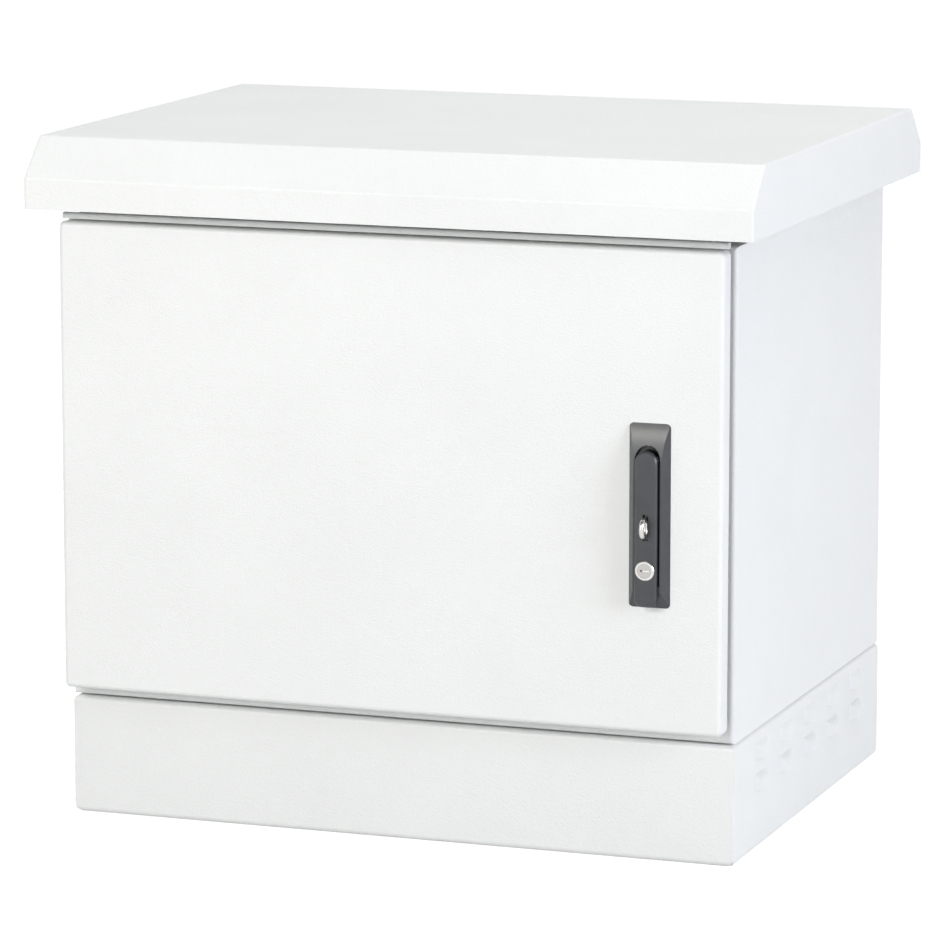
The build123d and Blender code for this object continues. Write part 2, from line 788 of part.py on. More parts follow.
# Hinges: a leaf with two knuckles on the door, a bracket with one on the body, and a pin
for centre, level_name in zip(hinge_centres, ("lower", "upper")):
    knuckle_reach = bracket_height / 2 + knuckle_gap + knuckle_height
    with BuildPart() as hinge_leaf:
        with BuildSketch(Plane.XY.offset(centre - leaf_height / 2)):
            with Locations((hinge_x + leaf_shift, door_inner + leaf_thickness / 2)):
                Rectangle(leaf_width, leaf_thickness)
        extrude(amount=leaf_height)
        with BuildSketch(Plane.XY.offset(centre - knuckle_reach)):
            with Locations((hinge_x, hinge_y)):
                Circle(hinge_barrel_radius)
            with Locations((hinge_x, (door_inner + hinge_y) / 2)):
                Rectangle(2 * hinge_pin_radius, hinge_y - door_inner)
        extrude(amount=2 * knuckle_reach)
        with BuildSketch(Plane.XY.offset(centre - bracket_height / 2 - knuckle_gap)):
            with Locations((hinge_x, hinge_y)):
                Rectangle(2 * leaf_width, 2 * (hinge_y - door_inner - leaf_thickness))
        extrude(amount=bracket_height + 2 * knuckle_gap, mode=Mode.SUBTRACT)
        with BuildSketch(Plane.XY.offset(centre - knuckle_reach)):
            with Locations((hinge_x, hinge_y)):
                Circle(hinge_pin_radius)
        extrude(amount=2 * knuckle_reach, mode=Mode.SUBTRACT)
        with BuildSketch(Plane.XZ.offset(-door_inner)):
            with Locations(*[(hinge_x, centre + side * leaf_stud_spread) for side in (-1, 1)]):
                Circle(stud_radius + screw_hole_clearance)
        extrude(amount=-leaf_thickness, mode=Mode.SUBTRACT)
    save(hinge_leaf, "hinge_leaf_" + level_name)

    with BuildPart() as hinge_bracket:
        with BuildSketch(Plane.XY.offset(centre - bracket_height / 2)):
            with Locations((hinge_x, hinge_y)):
                Circle(hinge_barrel_radius)
            arm_length = front - hinge_y
            with Locations((hinge_x + hinge_barrel_radius - hinge_arm / 2, hinge_y + arm_length / 2)):
                Rectangle(hinge_arm, arm_length)
            with Locations((hinge_x + foot_shift, front - foot_thickness / 2)):
                Rectangle(foot_width, foot_thickness)
            with Locations((hinge_x, hinge_y)):
                Circle(hinge_pin_radius + hinge_running_clearance, mode=Mode.SUBTRACT)
        extrude(amount=bracket_height)
        with Locations(Plane.XZ.offset(-(front - foot_thickness))):
            with Locations(*[(x, z) for x, z in bracket_screws if abs(z - centre) < bracket_height]):
                CounterSinkHole(bracket_screw_radius, countersink_radius, foot_thickness)
    save(hinge_bracket, "hinge_bracket_" + level_name)

    with BuildPart() as hinge_pin:
        with BuildSketch(Plane.XY.offset(centre - knuckle_reach)):
            with Locations((hinge_x, hinge_y)):
                Circle(hinge_pin_radius)
        extrude(amount=2 * knuckle_reach)
    save(hinge_pin, "hinge_pin_" + level_name)

# Nuts on welded studs that hold the hinge leaves to the door
with BuildPart() as hinge_leaf_nuts:
    stud_places = [(hinge_x, centre + side * leaf_stud_spread) for centre in hinge_centres for side in (-1, 1)]
    with BuildSketch(Plane.XZ.offset(-door_inner)):
        with Locations(*stud_places):
            Circle(stud_radius)
    extrude(amount=-leaf_thickness)
    with BuildSketch(Plane.XZ.offset(-(door_inner + leaf_thickness))):
        with Locations(*stud_places):
            RegularPolygon(leaf_nut_radius, 6)
    extrude(amount=-leaf_nut_height)
save(hinge_leaf_nuts, "hinge_leaf_nuts")

# Countersunk screws through the hinge brackets into nuts behind the flange
with BuildPart() as countersunk_screw:
    with BuildSketch(Plane.XY):
        with BuildLine():
            Polyline(
                (0, 0),
                (countersink_radius, 0),
                (bracket_screw_radius, countersink_radius - bracket_screw_radius),
                (bracket_screw_radius, foot_thickness + sheet + nut_height + thread_end),
                (0, foot_thickness + sheet + nut_height + thread_end),
                close=True,
            )
        make_face()
    revolve(axis=Axis.Y)
with BuildPart() as hinge_bracket_screws:
    with Locations(*[(x, front - foot_thickness, z) for x, z in bracket_screws]):
        add(countersunk_screw.part)
save(hinge_bracket_screws, "hinge_bracket_screws")

with BuildPart() as hinge_bracket_nuts:
    with BuildSketch(Plane.XZ.offset(-(front + sheet))):
        with Locations(*bracket_screws):
            RegularPolygon(nut_radius, 6)
            Circle(bracket_screw_radius, mode=Mode.SUBTRACT)
    extrude(amount=-nut_height)
save(hinge_bracket_nuts, "hinge_bracket_nuts")

# Handle base: a hipped block with a channel that the lever lies over
ridge_length = handle_length - ridge_top_slope - ridge_bottom_slope
with BuildPart() as handle_base:
    with BuildSketch(handle_plane):
        RectangleRounded(handle_width, handle_length, handle_corner)
    with BuildSketch(handle_plane.offset(ridge_height)):
        with Locations((0, (ridge_bottom_slope - ridge_top_slope) / 2)):
            RectangleRounded(ridge_width, ridge_length, ridge_corner)
    loft(ruled=True)
    with BuildSketch(hub_plane.offset(channel_floor)):
        Circle(channel_width / 2)
        with Locations((0, -channel_end / 2)):
            Rectangle(channel_width, channel_end)
    extrude(amount=ridge_height, mode=Mode.SUBTRACT)
    # Neck through the door
    with BuildSketch(hub_plane):
        Circle(handle_boss_radius)
    extrude(amount=-(sheet + clamp_thickness))
    with BuildSketch(hub_plane.offset(channel_floor)):
        Circle(rotor_shaft_radius + shaft_running_clearance)
    extrude(amount=-(channel_floor + sheet + clamp_thickness), mode=Mode.SUBTRACT)
    with BuildSketch(handle_plane):
        with Locations((0, -handle_screw_spread), (0, handle_screw_spread)):
            Circle(handle_screw_radius)
    extrude(amount=handle_screw_depth, mode=Mode.SUBTRACT)
save(handle_base, "handle_base")

# Clamp plate and screws behind the door
with BuildPart() as handle_clamp:
    with BuildSketch(handle_plane.offset(-sheet)):
        RectangleRounded(clamp_width, clamp_length, handle_corner)
        with Locations((0, hub_rise)):
            Circle(handle_boss_radius + screw_hole_clearance, mode=Mode.SUBTRACT)
        with Locations((0, -handle_screw_spread), (0, handle_screw_spread)):
            Circle(handle_screw_radius + screw_hole_clearance, mode=Mode.SUBTRACT)
    extrude(amount=-clamp_thickness)
save(handle_clamp, "handle_clamp")

with BuildPart() as handle_screws:
    with BuildSketch(handle_plane.offset(-(sheet + clamp_thickness))):
        with Locations((0, -handle_screw_spread), (0, handle_screw_spread)):
            RegularPolygon(handle_screw_radius + screw_head_overhang, 6)
    extrude(amount=-screw_head_height)
    with BuildSketch(handle_plane.offset(handle_screw_depth)):
        with Locations((0, -handle_screw_spread), (0, handle_screw_spread)):
            Circle(handle_screw_radius)
    extrude(amount=-(handle_screw_depth + sheet + clamp_thickness))
save(handle_screws, "handle_screws")

# Rotor: disc, shaft and tenon through the door, with the lug that the lever tilts on
cam_outer = front + sheet + cam_setback
shaft_depth = cam_outer - door_face
disc_under = channel_floor + rotor_disc_rise
lug_plane = Plane(origin=(handle_x, door_face, hub_z), x_dir=(0, 0, 1), z_dir=(1, 0, 0))
with BuildPart() as handle_rotor:
    with BuildSketch(hub_plane.offset(disc_under)):
        Circle(rotor_disc_radius)
    extrude(amount=rotor_disc_thickness)
    with BuildSketch(hub_plane.offset(disc_under)):
        Circle(rotor_shaft_radius)
    extrude(amount=-(disc_under + shaft_depth))
    with BuildSketch(hub_plane.offset(-shaft_depth)):
        Rectangle(tenon, tenon)
    extrude(amount=-cam_thickness)
    with BuildSketch(lug_plane.offset(-boss_half)):
        with Locations((0, pivot_height)):
            Circle(boss_half)
        with Locations((0, (disc_under + pivot_height) / 2)):
            Rectangle(2 * boss_half, pivot_height - disc_under)
    extrude(amount=2 * boss_half)
    with BuildSketch(hub_plane.offset(disc_under)):
        with Locations((0, -(web_start + web_end) / 2)):
            Rectangle(2 * web_half, web_end - web_start)
    extrude(amount=carrier_floor - disc_under)
    with BuildSketch(lug_plane.offset(-boss_half)):
        with Locations((0, pivot_height)):
            Circle(pivot_pin_radius + pivot_clearance)
    extrude(amount=2 * boss_half, mode=Mode.SUBTRACT)
    with BuildSketch(hub_plane.offset(-(shaft_depth + cam_thickness))):
        Circle(cam_bolt_radius)
    extrude(amount=cam_bolt_length - cam_bolt_head, mode=Mode.SUBTRACT)
save(handle_rotor, "handle_rotor")

# Staple plate for a padlock, carried under the lever
with BuildPart() as padlock_staple:
    with BuildSketch(hub_plane.offset(carrier_floor)):
        with Locations((0, -(carrier_start + carrier_end) / 2)):
            Rectangle(2 * carrier_half, carrier_end - carrier_start)
    extrude(amount=carrier_thickness)
    eye_radius = staple_length / 2
    eye_height = lever_face + staple_reach - eye_radius
    with BuildSketch(lug_plane.offset(-staple_thickness / 2)):
        with Locations((-staple_drop, eye_height)):
            Circle(eye_radius)
        with Locations((-staple_drop, carrier_floor - eye_radius)):
            Rectangle(staple_length, staple_length, mode=Mode.SUBTRACT)
        with Locations((-staple_drop, (carrier_floor + eye_height) / 2)):
            Rectangle(staple_length, eye_height - carrier_floor)
        with Locations((-staple_drop, lever_face + staple_hole_radius + sheet_gap)):
            Circle(staple_hole_radius, mode=Mode.SUBTRACT)
    extrude(amount=staple_thickness)
save(padlock_staple, "padlock_staple")

# Cam behind the door, level with the back of the doorway's flange, and its bolt
cam_reach = opening_half - cam_clearance - handle_x
with BuildPart() as latch_cam:
    with BuildSketch(hub_plane.offset(-shaft_depth)):
        Circle(cam_width / 2)
        with Locations((cam_reach / 2, 0)):
            Rectangle(cam_reach, cam_width)
        Rectangle(tenon, tenon, mode=Mode.SUBTRACT)
    extrude(amount=-cam_thickness)
    fillet(latch_cam.edges().filter_by(Axis.Y).sort_by(Axis.X)[-2:], radius=cam_thickness)
save(latch_cam, "latch_cam")

with BuildPart() as cam_bolt:
    with BuildSketch(hub_plane.offset(-(shaft_depth + cam_thickness))):
        RegularPolygon(nut_radius, 6)
    extrude(amount=-cam_bolt_head)
    with BuildSketch(hub_plane.offset(-(shaft_depth + cam_thickness))):
        Circle(cam_bolt_radius)
    extrude(amount=cam_bolt_length - cam_bolt_head)
save(cam_bolt, "cam_bolt")

# Lever
with BuildPart() as handle_lever:
    with BuildSketch(hub_plane.offset(lever_under)) as lever_outline:
        end_centre = lever_top_reach - lever_width / 2
        lever_bottom = lever_top_reach - lever_length
        with Locations((0, end_centre)):
            Circle(lever_width / 2)
        with Locations((0, (end_centre + lever_bottom) / 2)):
            Rectangle(lever_width, end_centre - lever_bottom)
        fillet(lever_outline.vertices().group_by(Axis.Y)[0], radius=lever_end_corner)
    extrude(amount=lever_face - lever_under)
    chamfer(handle_lever.faces().sort_by(Axis.Y)[0].edges(), length=lever_chamfer)
    with BuildSketch(hub_plane.offset(lever_under)):
        with Locations((0, (pocket_above - pocket_below) / 2)):
            Rectangle(2 * lever_pocket_half, pocket_above + pocket_below)
    extrude(amount=lever_pocket_roof - lever_under, mode=Mode.SUBTRACT)
    with BuildSketch(hub_plane.offset(lever_under)):
        with Locations((0, -staple_drop)):
            Rectangle(2 * slot_half_width, 2 * slot_half)
        with Locations((0, -lock_drop)):
            Circle(lock_radius)
    extrude(amount=lever_face - lever_under, mode=Mode.SUBTRACT)
    for side in (-1, 1):
        with BuildSketch(lug_plane.offset(side * lever_pocket_half)):
            with Locations((0, pivot_height)):
                Circle(lug_radius)
            with Locations((0, (pivot_height + lever_under + lug_sink) / 2)):
                Rectangle(2 * lug_radius, lever_under + lug_sink - pivot_height)
        extrude(amount=side * lug_thickness)
    with BuildSketch(lug_plane.offset(-lever_width / 2)):
        with Locations((0, pivot_height)):
            Circle(pivot_pin_radius)
    extrude(amount=lever_width, mode=Mode.SUBTRACT)
save(handle_lever, "handle_lever")

with BuildPart() as lever_pin:
    with BuildSketch(lug_plane.offset(-(lever_pocket_half + lug_thickness))):
        with Locations((0, pivot_height)):
            Circle(pivot_pin_radius)
    extrude(amount=2 * (lever_pocket_half + lug_thickness))
save(lever_pin, "lever_pin")

# Lock cylinder: a fixed ring in the lever and the plug that turns in it
ring_under = lever_under + ring_rise
plug_flange_under = ring_under - sheet_gap - plug_flange_thickness
with BuildPart() as lock_ring:
    with BuildSketch(hub_plane.offset(ring_under)):
        with Locations((0, -lock_drop)):
            Circle(lock_radius)
            Circle(plug_radius + plug_clearance, mode=Mode.SUBTRACT)
    extrude(amount=lever_face + lock_proud - ring_under)
    rim = lock_ring.faces().sort_by(Axis.Y)[0].edges().sort_by(SortBy.LENGTH)[-1]
    chamfer(rim, length=ring_chamfer)
save(lock_ring, "lock_ring")

with BuildPart() as lock_plug:
    with BuildSketch(hub_plane.offset(plug_flange_under)):
        with Locations((0, -lock_drop)):
            Circle(plug_flange_radius)
    extrude(amount=plug_flange_thickness)
    with BuildSketch(hub_plane.offset(plug_flange_under)):
        with Locations((0, -lock_drop)):
            Circle(plug_radius)
    extrude(amount=lever_face + lock_proud - plug_setback - plug_flange_under)
    with BuildSketch(hub_plane.offset(lever_face + lock_proud - plug_setback)):
        with Locations((0, -lock_drop)):
            SlotOverall(keyway_length, keyway_width)
    extrude(amount=-keyway_depth, mode=Mode.SUBTRACT)
save(lock_plug, "lock_plug")
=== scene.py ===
import bpy
import bmesh
import json
from math import cos, pi, radians, sin
from mathutils import Matrix, Vector


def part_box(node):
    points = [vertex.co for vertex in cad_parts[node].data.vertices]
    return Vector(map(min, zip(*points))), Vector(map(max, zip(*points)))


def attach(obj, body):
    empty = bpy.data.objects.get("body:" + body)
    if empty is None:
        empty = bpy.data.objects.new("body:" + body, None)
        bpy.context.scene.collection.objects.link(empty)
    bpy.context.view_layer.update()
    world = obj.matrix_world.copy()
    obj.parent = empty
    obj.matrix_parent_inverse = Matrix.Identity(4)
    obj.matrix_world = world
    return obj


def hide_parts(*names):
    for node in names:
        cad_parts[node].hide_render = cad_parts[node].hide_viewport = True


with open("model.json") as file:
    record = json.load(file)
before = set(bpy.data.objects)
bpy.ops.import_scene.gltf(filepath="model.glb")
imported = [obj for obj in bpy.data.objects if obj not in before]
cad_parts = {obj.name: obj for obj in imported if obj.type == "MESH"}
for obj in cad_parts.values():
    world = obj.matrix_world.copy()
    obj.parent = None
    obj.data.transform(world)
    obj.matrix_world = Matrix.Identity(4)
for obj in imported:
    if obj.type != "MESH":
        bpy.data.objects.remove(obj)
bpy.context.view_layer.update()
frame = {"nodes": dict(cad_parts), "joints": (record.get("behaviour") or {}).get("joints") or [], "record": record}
nodes = frame["nodes"]
joints = {joint["name"]: joint for joint in frame["joints"]}

# Colours, as linear values
WHITE = (1, 1, 1, 1)
COAT = (0.855, 0.866, 0.855, 1)
ZINC_DARK = (0.50, 0.51, 0.52, 1)
ZINC_LIGHT = (0.68, 0.69, 0.70, 1)
BOLT_ZINC = (0.62, 0.62, 0.60, 1)
NICKEL = (0.60, 0.59, 0.565, 1)
# Dark steel for the handle's rotor and the eye's carrier: painted shade for the dark gaps round them
GAP_SHADE_DARK = (0.05, 0.05, 0.052, 1)
PLASTIC = (0.042, 0.044, 0.049, 1)
FOAM = (0.028, 0.028, 0.030, 1)
WASHER = (0.02, 0.02, 0.02, 1)
FLOOR_LIT = (0.60, 0.60, 0.60, 1)
FLOOR_SEEN = (0.42, 0.42, 0.42, 1)

# The lock's plug is drawn darker than its ring, at this share of the nickel's colour
PLUG_SHARE = 0.72

# Nearly all of a noise texture's values lie between these
NOISE_LOW = 0.3
NOISE_HIGH = 0.7

# Below, lengths are in metres and angles in degrees, except for the camera's lens and sensor

# Canopy: folded sheet with welded ends, and rounded folds and corners
CANOPY_LIP = 0.027
CANOPY_CHAMFER = 0.033
CANOPY_ROUND = 0.0022
CANOPY_ROUND_SEGMENTS = 4
CANOPY_FOLD_ANGLE = 20
SHEET = 0.0015
INWARD = -1
FULL_WEIGHT = 100

# Drip rail: a rounded bead along the body's front edge, over the door
DRIP_RAIL_DEPTH = 0.006
DRIP_RAIL_HEIGHT = 0.0052
DRIP_RAIL_ROUND = 0.0024
DRIP_RAIL_INSET = 0.003
DRIP_RAIL_LEAD = 0.002
DRIP_RAIL_SHARP_ANGLE = 40

# Swing handle: its hub is where the handle's joint crosses the door's face
HUB_X, DOOR_FACE, HUB_Z = joints["handle_turn"]["pos_m"]
RIDGE_WIDTH = 0.0245
RIDGE_TOP_SLOPE = 0.037
RIDGE_BOTTOM_SLOPE = 0.014
BOW_STEPS = 12
HANDLE_CORNER = 0.004
HANDLE_SHARP_ANGLE = 28
CHANNEL_HALF = 0.011
CHANNEL_TOP = 0.0125
CHANNEL_END = 0.1055
CHANNEL_FLOOR = 0.001
NECK_RADIUS = 0.009
BORE_RADIUS = 0.00612

# Padlock eye, with half sizes of its oval and of its section, and the plate that carries it
EYE_DROP = 0.0556
EYE_RISE = 0.0169
EYE_HALF_LENGTH = 0.0073
EYE_HALF_RISE = 0.00585
EYE_RADIAL = 0.00185
EYE_ACROSS = 0.0021
EYE_STEPS = 48
EYE_SIDES = 14
CARRIER_WIDTH = 0.011
CARRIER_CORNER = 0.001
CARRIER_FLOOR = 0.0084
CARRIER_THICKNESS = 0.0012

# Decimals that round a length in metres to the micrometre
MICROMETRE = 6

# Steps along a quarter round, the channel's half-round end and a whole circle
QUARTER_STEPS = 6
HALF_STEPS = 24
CIRCLE_STEPS = 48

# World and floor: strengths, and the heights between which the mirrored sky darkens
WORLD_LIGHT = 0.40
SKY_TOP = 0.25
SKY_DARKENS_FROM = 0.1
SKY_DARKENS_TO = 0.8
FLOOR_SIZE = 60.0
FLOOR_GLOW = 0.85

# Camera fitted to the photograph, with its lens and sensor in millimetres
CAMERA_TURN = 19.687
CAMERA_TILT = 10.052
CAMERA_LENS = 202.0
CAMERA_SENSOR = 36.0
CAMERA_DISTANCE = 4.7169
AIM_HEIGHT = 0.300
AIM_RIGHT = -0.00911
AIM_UP = -0.02110


class Nodes:
    """A node tree, with helpers that add its nodes and join them."""

    def __init__(self, tree):
        self.tree = tree

    def add(self, kind, **values):
        node = self.tree.nodes.new(kind)
        for name, value in values.items():
            setattr(node, name, value)
        return node

    def put(self, value, socket):
        """Joins another node's output to a socket, or sets the socket to a plain value."""
        if isinstance(value, bpy.types.NodeSocket):
            self.tree.links.new(value, socket)
        else:
            socket.default_value = value

    def spread(self, source, to_low, to_high, low=NOISE_LOW, high=NOISE_HIGH):
        """Stretches values between low and high to run from to_low to to_high."""
        node = self.add("ShaderNodeMapRange")
        self.put(source, node.inputs["Value"])
        self.put(low, node.inputs["From Min"])
        self.put(high, node.inputs["From Max"])
        self.put(to_low, node.inputs["To Min"])
        self.put(to_high, node.inputs["To Max"])
        return node.outputs["Result"]

    def blend(self, factor, first, second):
        """Runs from the first colour to the second as the factor rises."""
        node = self.add("ShaderNodeMix", data_type="RGBA")
        self.put(factor, node.inputs["Factor"])
        self.put(first, node.inputs["A"])
        self.put(second, node.inputs["B"])
        return node.outputs["Result"]

    def seen(self):
        """Is 1 for what camera, glossy and transmission rays see, and 0 for the light it sheds."""
        path = self.add("ShaderNodeLightPath")
        total = path.outputs["Is Camera Ray"]
        for ray in ("Is Glossy Ray", "Is Transmission Ray"):
            either = self.add("ShaderNodeMath", operation="MAXIMUM")
            self.put(total, either.inputs[0])
            self.put(path.outputs[ray], either.inputs[1])
            total = either.outputs[0]
        return total


class Material(Nodes):
    """A material with a Principled shader, and the textures that drive it."""

    def __init__(self, name):
        self.material = bpy.data.materials.new(name)
        self.material.use_nodes = True
        super().__init__(self.material.node_tree)
        self.shader = self.tree.nodes["Principled BSDF"]
        self.place = self.add("ShaderNodeTexCoord").outputs["Object"]

    def noise(self, scale, detail=2.0, roughness=0.5, place=None):
        node = self.add("ShaderNodeTexNoise")
        self.put(scale, node.inputs["Scale"])
        self.put(detail, node.inputs["Detail"])
        self.put(roughness, node.inputs["Roughness"])
        self.put(place or self.place, node.inputs["Vector"])
        return node.outputs["Fac"]

    def cells(self, scale, output):
        node = self.add("ShaderNodeTexVoronoi")
        self.put(scale, node.inputs["Scale"])
        self.put(self.place, node.inputs["Vector"])
        return node.outputs[output]

    def stretched(self, upward):
        """Places for a texture that is drawn out along Z, where upward is under 1."""
        node = self.add("ShaderNodeMapping")
        self.put((1, 1, upward), node.inputs["Scale"])
        self.put(self.place, node.inputs["Vector"])
        return node.outputs["Vector"]

    def tones(self, factor, colour, dark, light):
        """Runs from a darker to a lighter tone of a colour as the factor rises."""
        return self.blend(factor, shaded(colour, dark), shaded(colour, light))

    def bump(self, height, depth, strength=1.0, under=None):
        """Relief of a depth in metres, laid over another where one is given."""
        node = self.add("ShaderNodeBump")
        self.put(strength, node.inputs["Strength"])
        self.put(depth, node.inputs["Distance"])
        self.put(height, node.inputs["Height"])
        if under is not None:
            self.put(under, node.inputs["Normal"])
        return node.outputs["Normal"]

    def set(self, **values):
        """Sets or joins the shader's sockets, each by its name in lower case."""
        for name, value in values.items():
            self.put(value, self.shader.inputs[name.replace("_", " ").title()])


def shaded(colour, factor):
    """The colour, darker or lighter by a factor."""
    return tuple(channel * factor for channel in colour[:3]) + (1,)


def powder_coat(name):
    """Pale powder coat: a fine orange peel with scattered grains."""
    made = Material(name)
    peel = made.noise(scale=620, roughness=0.55)
    grain = made.noise(scale=1500, detail=1.0)
    cloud = made.spread(made.noise(scale=9), 0, 1)
    made.set(
        base_color=made.tones(cloud, COAT, dark=0.985, light=1.012),
        roughness=made.spread(peel, 0.30, 0.40),
        normal=made.bump(grain, depth=0.00012, under=made.bump(peel, depth=0.00036)),
    )
    return made.material


def zinc_plate(name):
    """Galvanised sheet: crystal patches over rolled steel."""
    made = Material(name)
    patch = made.cells(scale=160, output="Color")
    shade = made.spread(patch, 0.2, 0.8, low=0, high=1)
    rolled = made.noise(scale=420, detail=3.0, place=made.stretched(upward=0.05))
    made.set(
        base_color=made.blend(shade, ZINC_DARK, ZINC_LIGHT),
        roughness=made.spread(patch, 0.34, 0.52, low=0, high=1),
        normal=made.bump(rolled, depth=0.00002, strength=0.6),
        metallic=0.92,
    )
    return made.material


def bright_zinc(name):
    """Zinc plated fasteners."""
    made = Material(name)
    mottle = made.noise(scale=900, detail=3.0)
    made.set(
        base_color=made.tones(mottle, BOLT_ZINC, dark=0.8, light=1.15),
        roughness=made.spread(mottle, 0.26, 0.42),
        normal=made.bump(mottle, depth=0.00001, strength=0.5),
        metallic=1.0,
    )
    return made.material


def nickel_plate(name, colour=NICKEL):
    """Satin nickel, brushed along Z, in its own colour or a darker one."""
    made = Material(name)
    brushed = made.noise(scale=2600, place=made.stretched(upward=0.2))
    made.set(
        base_color=made.tones(brushed, colour, dark=0.9, light=1.08),
        roughness=made.spread(brushed, 0.18, 0.28),
        normal=made.bump(brushed, depth=0.000006, strength=0.6),
        metallic=1.0,
    )
    return made.material


def moulded_plastic(name):
    """Glass filled plastic: dark grey, with a fine moulded grain."""
    made = Material(name)
    grain = made.noise(scale=2600, roughness=0.6)
    cloud = made.spread(made.noise(scale=70), 0, 1)
    made.set(
        base_color=made.tones(cloud, PLASTIC, dark=0.9, light=1.12),
        roughness=made.spread(grain, 0.26, 0.34),
        normal=made.bump(grain, depth=0.00002, strength=0.7),
    )
    return made.material


def foam(name):
    """Foamed seal: small open cells."""
    made = Material(name)
    pores = made.cells(scale=1100, output="Distance")
    made.set(
        base_color=made.tones(pores, FOAM, dark=1.0, light=2.0),
        roughness=0.9,
        normal=made.bump(pores, depth=0.0002, strength=0.8),
    )
    return made.material


def washer_plastic(name):
    """Black plastic washers."""
    made = Material(name)
    grain = made.noise(scale=1200)
    made.set(
        base_color=made.tones(grain, WASHER, dark=1.0, light=1.8),
        roughness=0.6,
        normal=made.bump(grain, depth=0.00003, strength=0.6),
    )
    return made.material


MAKERS = {
    "powder_coat": powder_coat,
    "galvanised_steel": zinc_plate,
    "fastener_steel": bright_zinc,
    "nickel_steel": nickel_plate,
    "handle_plastic": moulded_plastic,
    "foam_gasket": foam,
    "spacer_plastic": washer_plastic,
}
finishes = {slot: make(slot) for slot, make in MAKERS.items()}
# Dark nickel: painted shade where the rotor and the eye's carrier show through gaps
gap_shade_steel = nickel_plate("gap_shade_dark_steel", GAP_SHADE_DARK)
plug_nickel = nickel_plate("plug_nickel", shaded(NICKEL, PLUG_SHARE))


def coat(thing, material):
    """Gives an object one material all over."""
    thing.data.materials.clear()
    thing.data.materials.append(material)


def add_object(name, data):
    """A new object in the scene that holds a mesh, a lamp or a camera."""
    made = bpy.data.objects.new(name, data)
    bpy.context.scene.collection.objects.link(made)
    return made


def mesh_object(name, work):
    """A new object in the scene from a mesh in the making, which is freed."""
    mesh = bpy.data.meshes.new(name)
    work.to_mesh(mesh)
    work.free()
    return add_object(name, mesh)


def solid_between(name, first_ring, second_ring):
    """A closed solid between two rings with the same number of points."""
    solid = bmesh.new()
    rings = [[solid.verts.new(point) for point in ring] for ring in (first_ring, second_ring)]
    count = len(first_ring)
    for first in range(count):
        second = (first + 1) % count
        solid.faces.new((rings[0][first], rings[0][second], rings[1][second], rings[1][first]))
    solid.faces.new(rings[0])
    solid.faces.new(rings[1])
    bmesh.ops.recalc_face_normals(solid, faces=solid.faces)
    return mesh_object(name, solid)


def arc(centre, radii, start, end, steps):
    """Points of an arc about a centre, with both ends, between two angles in degrees."""
    points = []
    for step in range(steps + 1):
        angle = radians(start + (end - start) * step / steps)
        points.append((centre[0] + radii[0] * cos(angle), centre[1] + radii[1] * sin(angle)))
    return points


def circle(radius, along):
    """Points round a circle that is centred on the handle's middle line, at a place along it."""
    return arc((0, along), (radius, radius), 0, 360, CIRCLE_STEPS)[:-1]


def rounded_outline(width, low, high, corner):
    """Points round a rectangle with rounded corners, from its lower to its upper edge."""
    side = width / 2 - corner
    centres = (
        (side, high - corner),
        (-side, high - corner),
        (-side, low + corner),
        (side, low + corner),
    )
    points = []
    for turn, centre in zip((0, 90, 180, 270), centres):
        points += arc(centre, (corner, corner), turn, turn + 90, QUARTER_STEPS)
    return points


def folded_canopy():
    """The canopy's outer skin from its profile, then rounded and given its sheet's thickness."""
    low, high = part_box("canopy")
    profile = (
        (low.y, low.z),
        (low.y, low.z + CANOPY_LIP),
        (low.y + CANOPY_CHAMFER, high.z),
        (high.y - CANOPY_CHAMFER, high.z),
        (high.y, low.z + CANOPY_LIP),
        (high.y, low.z),
    )
    skin = bmesh.new()
    left, right = [[skin.verts.new((x, y, z)) for y, z in profile] for x in (low.x, high.x)]
    strips = [
        skin.faces.new((left[first + 1], left[first], right[first], right[first + 1]))
        for first in range(len(profile) - 1)
    ]
    skin.faces.new(left)
    skin.faces.new(list(reversed(right)))
    bmesh.ops.recalc_face_normals(skin, faces=skin.faces)
    top = strips[len(strips) // 2]
    if top.normal.z < 0:
        bmesh.ops.reverse_faces(skin, faces=skin.faces)
    sheet = mesh_object("canopy_sheet", skin)
    sheet.data.shade_smooth()
    rounding = sheet.modifiers.new("rounding", "BEVEL")
    rounding.width = CANOPY_ROUND
    rounding.segments = CANOPY_ROUND_SEGMENTS
    rounding.limit_method = "ANGLE"
    rounding.angle_limit = radians(CANOPY_FOLD_ANGLE)
    thickness = sheet.modifiers.new("thickness", "SOLIDIFY")
    thickness.thickness = SHEET
    thickness.offset = INWARD
    flat = sheet.modifiers.new("flat", "WEIGHTED_NORMAL")
    flat.weight = FULL_WEIGHT
    coat(sheet, finishes["powder_coat"])
    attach(sheet, "cabinet")
    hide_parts("canopy")


def drip_rail():
    """The bead's rounded section, drawn along the front of the body."""
    low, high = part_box("body_top_panel")
    front = low.y - DRIP_RAIL_LEAD
    back = front + DRIP_RAIL_DEPTH
    foot = high.z
    rise = foot + DRIP_RAIL_HEIGHT - DRIP_RAIL_ROUND
    radii = (DRIP_RAIL_ROUND, DRIP_RAIL_ROUND)
    section = [(front, foot)]
    section += arc((front + DRIP_RAIL_ROUND, rise), radii, 180, 90, QUARTER_STEPS)
    section += arc((back - DRIP_RAIL_ROUND, rise), radii, 90, 0, QUARTER_STEPS)
    section.append((back, foot))
    ends = (low.x + DRIP_RAIL_INSET, high.x - DRIP_RAIL_INSET)
    bead = solid_between("drip_rail", *[[(x, y, z) for y, z in section] for x in ends])
    bead.data.shade_smooth()
    bead.data.set_sharp_from_angle(angle=radians(DRIP_RAIL_SHARP_ANGLE))
    coat(bead, finishes["powder_coat"])
    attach(bead, "cabinet")


